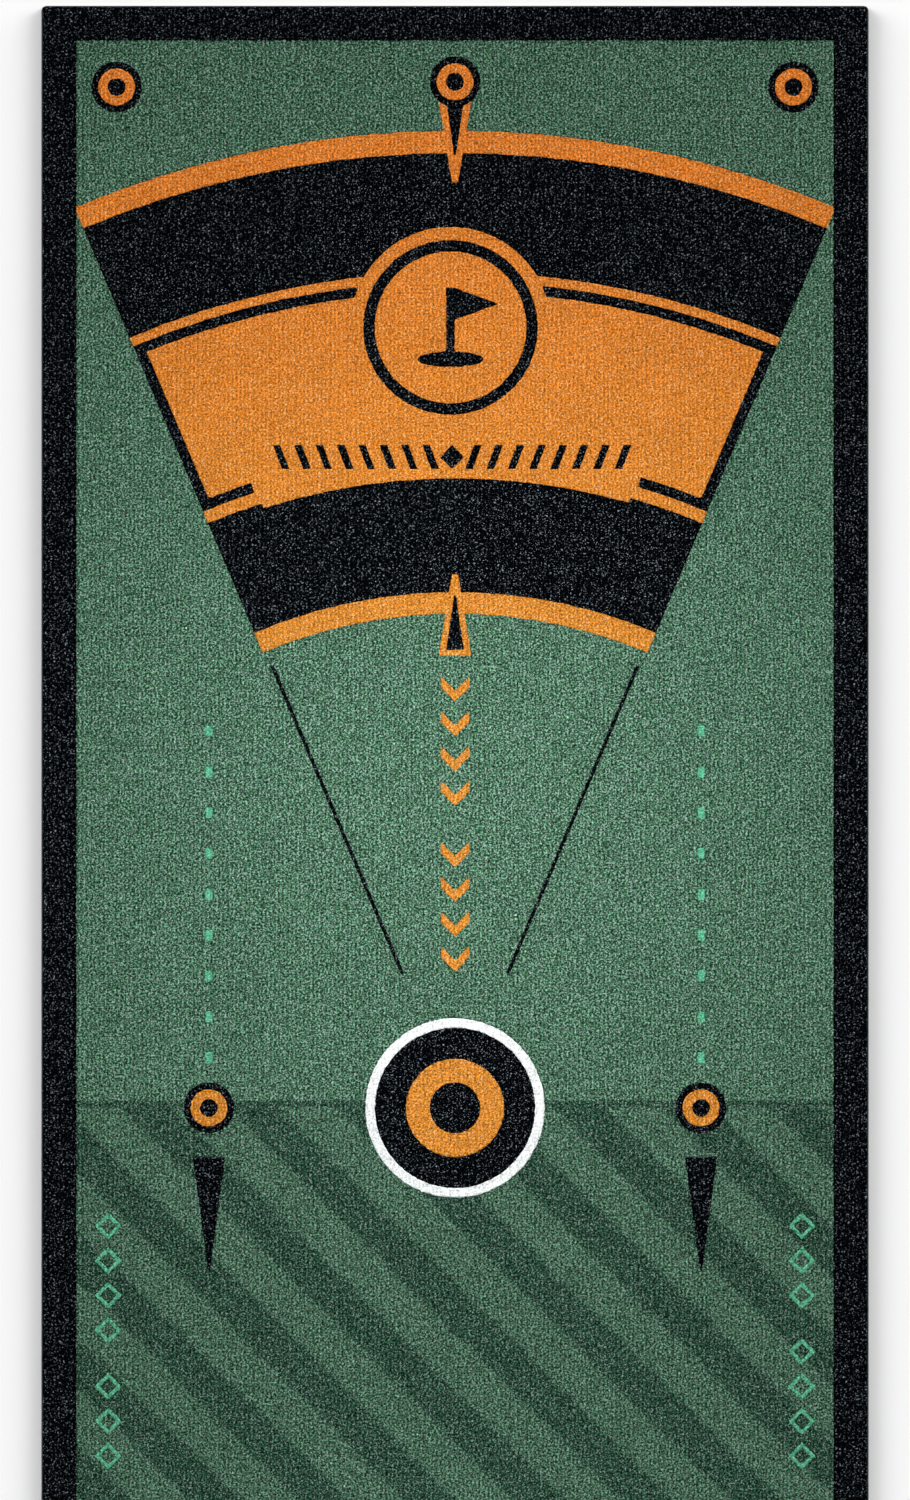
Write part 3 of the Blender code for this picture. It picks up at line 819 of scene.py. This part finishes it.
for number in (1, 2, 3):
    node = f"lane_section_{number}"
    low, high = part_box(node)
    aim_dashes = bmesh.new()
    y = high.y - AIM_PITCH / 2
    while y > low.y + AIM_LENGTH:
        add_bar(aim_dashes, 0.0, y, AIM_WIDTH, AIM_LENGTH)
        y -= AIM_PITCH
    marks = (aim_dashes, f"aim_dashes_{number}", mint_dye, "mint_pile")
    printed_zone(node, green_dye, "green_pile", marks)
    zone_of_pile(f"distance_line_{number}", shade_dye, "shade_green_pile")
zone_of_pile("start_line", white_dye, "white_pile")
zone_of_pile("start_field", green_dye, "green_pile")
for side in ("left", "right"):
    zone_of_pile(side + "_start_spot", mint_dye, "mint_pile")


# ---------------------------------------------------------------- The fan
# Printed beyond the target in orange and black, with a needle on the centre line of each arc and
# a row of slanted bars along the panel.

BAR_COUNT = 8
BAR_PITCH = 0.0129
BAR_WIDTH = 0.0045
BAR_HEIGHT = 0.0145
BAR_SLANT = 0.0055
BAR_ROW_SHIFT = -0.0018
BAR_ROW_FROM_TARGET = 0.3931

bars = bmesh.new()
bar_y = target_y + BAR_ROW_FROM_TARGET
for step in range(1, BAR_COUNT + 1):
    for side in (-1, 1):
        x = BAR_ROW_SHIFT + side * step * BAR_PITCH
        add_bar(bars, x, bar_y, BAR_WIDTH, BAR_HEIGHT, side * BAR_SLANT)
add_diamond(bars, BAR_ROW_SHIFT, bar_y, BAR_HEIGHT / 2)
printed_zone(
    "fan_panel", orange_dye, "orange_pile", (bars, "panel_bars", black_dye, "black_pile")
)
for node in ("fan_outer_arc", "fan_inner_arc", "disc_face"):
    zone_of_pile(node, orange_dye, "orange_pile")
for node in ("fan_upper_band", "fan_lower_band", "fan_frame_left", "fan_frame_right"):
    zone_of_pile(node, black_dye, "black_pile")
for node in ("fan_needle_core", "disc_ring", "disc_flag"):
    zone_of_pile(node, black_dye, "black_pile")


# ---------------------------------------------------------------- Round markers, target and guides
# Small rings of black and orange, and the full-size cup: a white rim round a black cup with an
# orange band and a black eye. Thin black guides lead to it, and wedges point away from it.

MARKERS = ("left_corner", "right_corner", "left", "right", "head", "start")

for marker in MARKERS:
    zone_of_pile(marker + "_marker_halo", black_dye, "black_pile")
    zone_of_pile(marker + "_marker_band", orange_dye, "orange_pile")
    zone_of_pile(marker + "_marker_dot", black_dye, "black_pile")
zone_of_pile("target_rim", white_dye, "white_pile")
zone_of_pile("target_cup", black_dye, "black_pile")
zone_of_pile("target_band", orange_dye, "orange_pile")
zone_of_pile("target_eye", black_dye, "black_pile")
for side in ("left", "right"):
    zone_of_pile("guide_line_" + side, black_dye, "black_pile")
    zone_of_pile(side + "_wedge", black_dye, "black_pile")


# ---------------------------------------------------------------- Floor, light and camera
# A plain white floor under a soft white sky that is brighter at the head and at the two sides.
# Two soft lamps light the mat and not the floor: one above the ground before the fan, and one
# along the lane.

FLOOR_SIZE = 30.0
SKY_STRENGTH = 1.16
SKY_LEAST = 0.04
HEAD_SKY = (-0.1, 0.6)
SIDE_SKY = (0.5, 0.85)
SIDE_SKY_EXTRA = 8.0
LAMP_HEIGHT = 0.35
HEAD_LAMP_SIZE = (0.2, 0.2)
HEAD_LAMP_FROM_TARGET = 0.216
HEAD_LAMP_POWER = 1.2
LANE_LAMP_SIZE = (0.25, 2.0)
LANE_LAMP_POWER = 4.45
VIEW_HEIGHT = 0.906923
FLOOR_PAST_HEAD = 0.003628
CAMERA_HEIGHT = 6.0

sheet = bmesh.new()
bmesh.ops.create_grid(sheet, x_segments=1, y_segments=1, size=FLOOR_SIZE / 2)
floor_mesh = bpy.data.meshes.new("floor")
sheet.to_mesh(floor_mesh)
sheet.free()
floor = bpy.data.objects.new("floor", floor_mesh)
bpy.context.scene.collection.objects.link(floor)
floor_material, _, floor_shader = new_material("plain_floor", 1.0)
floor_shader.inputs["Base Color"].default_value = (0.98, 0.98, 0.98, 1.0)
floor_shader.inputs["Specular IOR Level"].default_value = 0.0
floor_mesh.materials.append(floor_material)
floor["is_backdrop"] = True

world = bpy.data.worlds.new("soft_sky")
world.use_nodes = True
sky = world.node_tree
direction = sky.nodes.new("ShaderNodeTexCoord")
apart = sky.nodes.new("ShaderNodeSeparateXYZ")
head_part = add_node(sky, "ShaderNodeMapRange", From_Min=HEAD_SKY[0], From_Max=HEAD_SKY[1])
side_part = add_node(sky, "ShaderNodeMapRange", From_Min=SIDE_SKY[0], From_Max=SIDE_SKY[1])
for part in (head_part, side_part):
    part.interpolation_type = "SMOOTHSTEP"
sky.links.new(direction.outputs["Generated"], apart.inputs["Vector"])
sky.links.new(apart.outputs["Y"], head_part.inputs["Value"])
sky.links.new(add_math(sky, "ABSOLUTE", apart.outputs["X"]), side_part.inputs["Value"])
sides = add_math(sky, "MULTIPLY", side_part.outputs["Result"], SIDE_SKY_EXTRA)
bright = add_math(sky, "MULTIPLY", add_math(sky, "ADD", sides, 1.0), head_part.outputs["Result"])
bright = add_math(sky, "MULTIPLY", add_math(sky, "ADD", bright, SKY_LEAST), SKY_STRENGTH)
sky.nodes["Background"].inputs["Color"].default_value = (1.0, 1.0, 1.0, 1.0)
sky.links.new(bright, sky.nodes["Background"].inputs["Strength"])
bpy.context.scene.world = world
bpy.context.scene.view_settings.view_transform = "Standard"

mat_pieces = bpy.data.collections.new("mat_pieces")
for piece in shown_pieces():
    mat_pieces.objects.link(piece)
lamps = (
    ("head_lamp", target_y + HEAD_LAMP_FROM_TARGET, HEAD_LAMP_SIZE, HEAD_LAMP_POWER),
    ("lane_lamp", cad_low.y + LANE_LAMP_SIZE[1] / 2, LANE_LAMP_SIZE, LANE_LAMP_POWER),
)
for name, y, size, power in lamps:
    light = bpy.data.lights.new(name, "AREA")
    light.shape = "RECTANGLE"
    light.size, light.size_y = size
    light.energy = power
    lamp = bpy.data.objects.new(name, light)
    lamp.location = (0.0, y, LAMP_HEIGHT)
    lamp.visible_camera = False
    lamp.light_linking.receiver_collection = mat_pieces
    bpy.context.scene.collection.objects.link(lamp)

camera_data = bpy.data.cameras.new("camera")
camera = bpy.data.objects.new("camera", camera_data)
bpy.context.scene.collection.objects.link(camera)
camera_data.lens = camera_data.sensor_width * CAMERA_HEIGHT / VIEW_HEIGHT
camera.location = (0.0, cad_high.y + FLOOR_PAST_HEAD - VIEW_HEIGHT / 2, CAMERA_HEIGHT)
camera_data.clip_end = 100.0
bpy.context.scene.camera = camera

low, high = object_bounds()
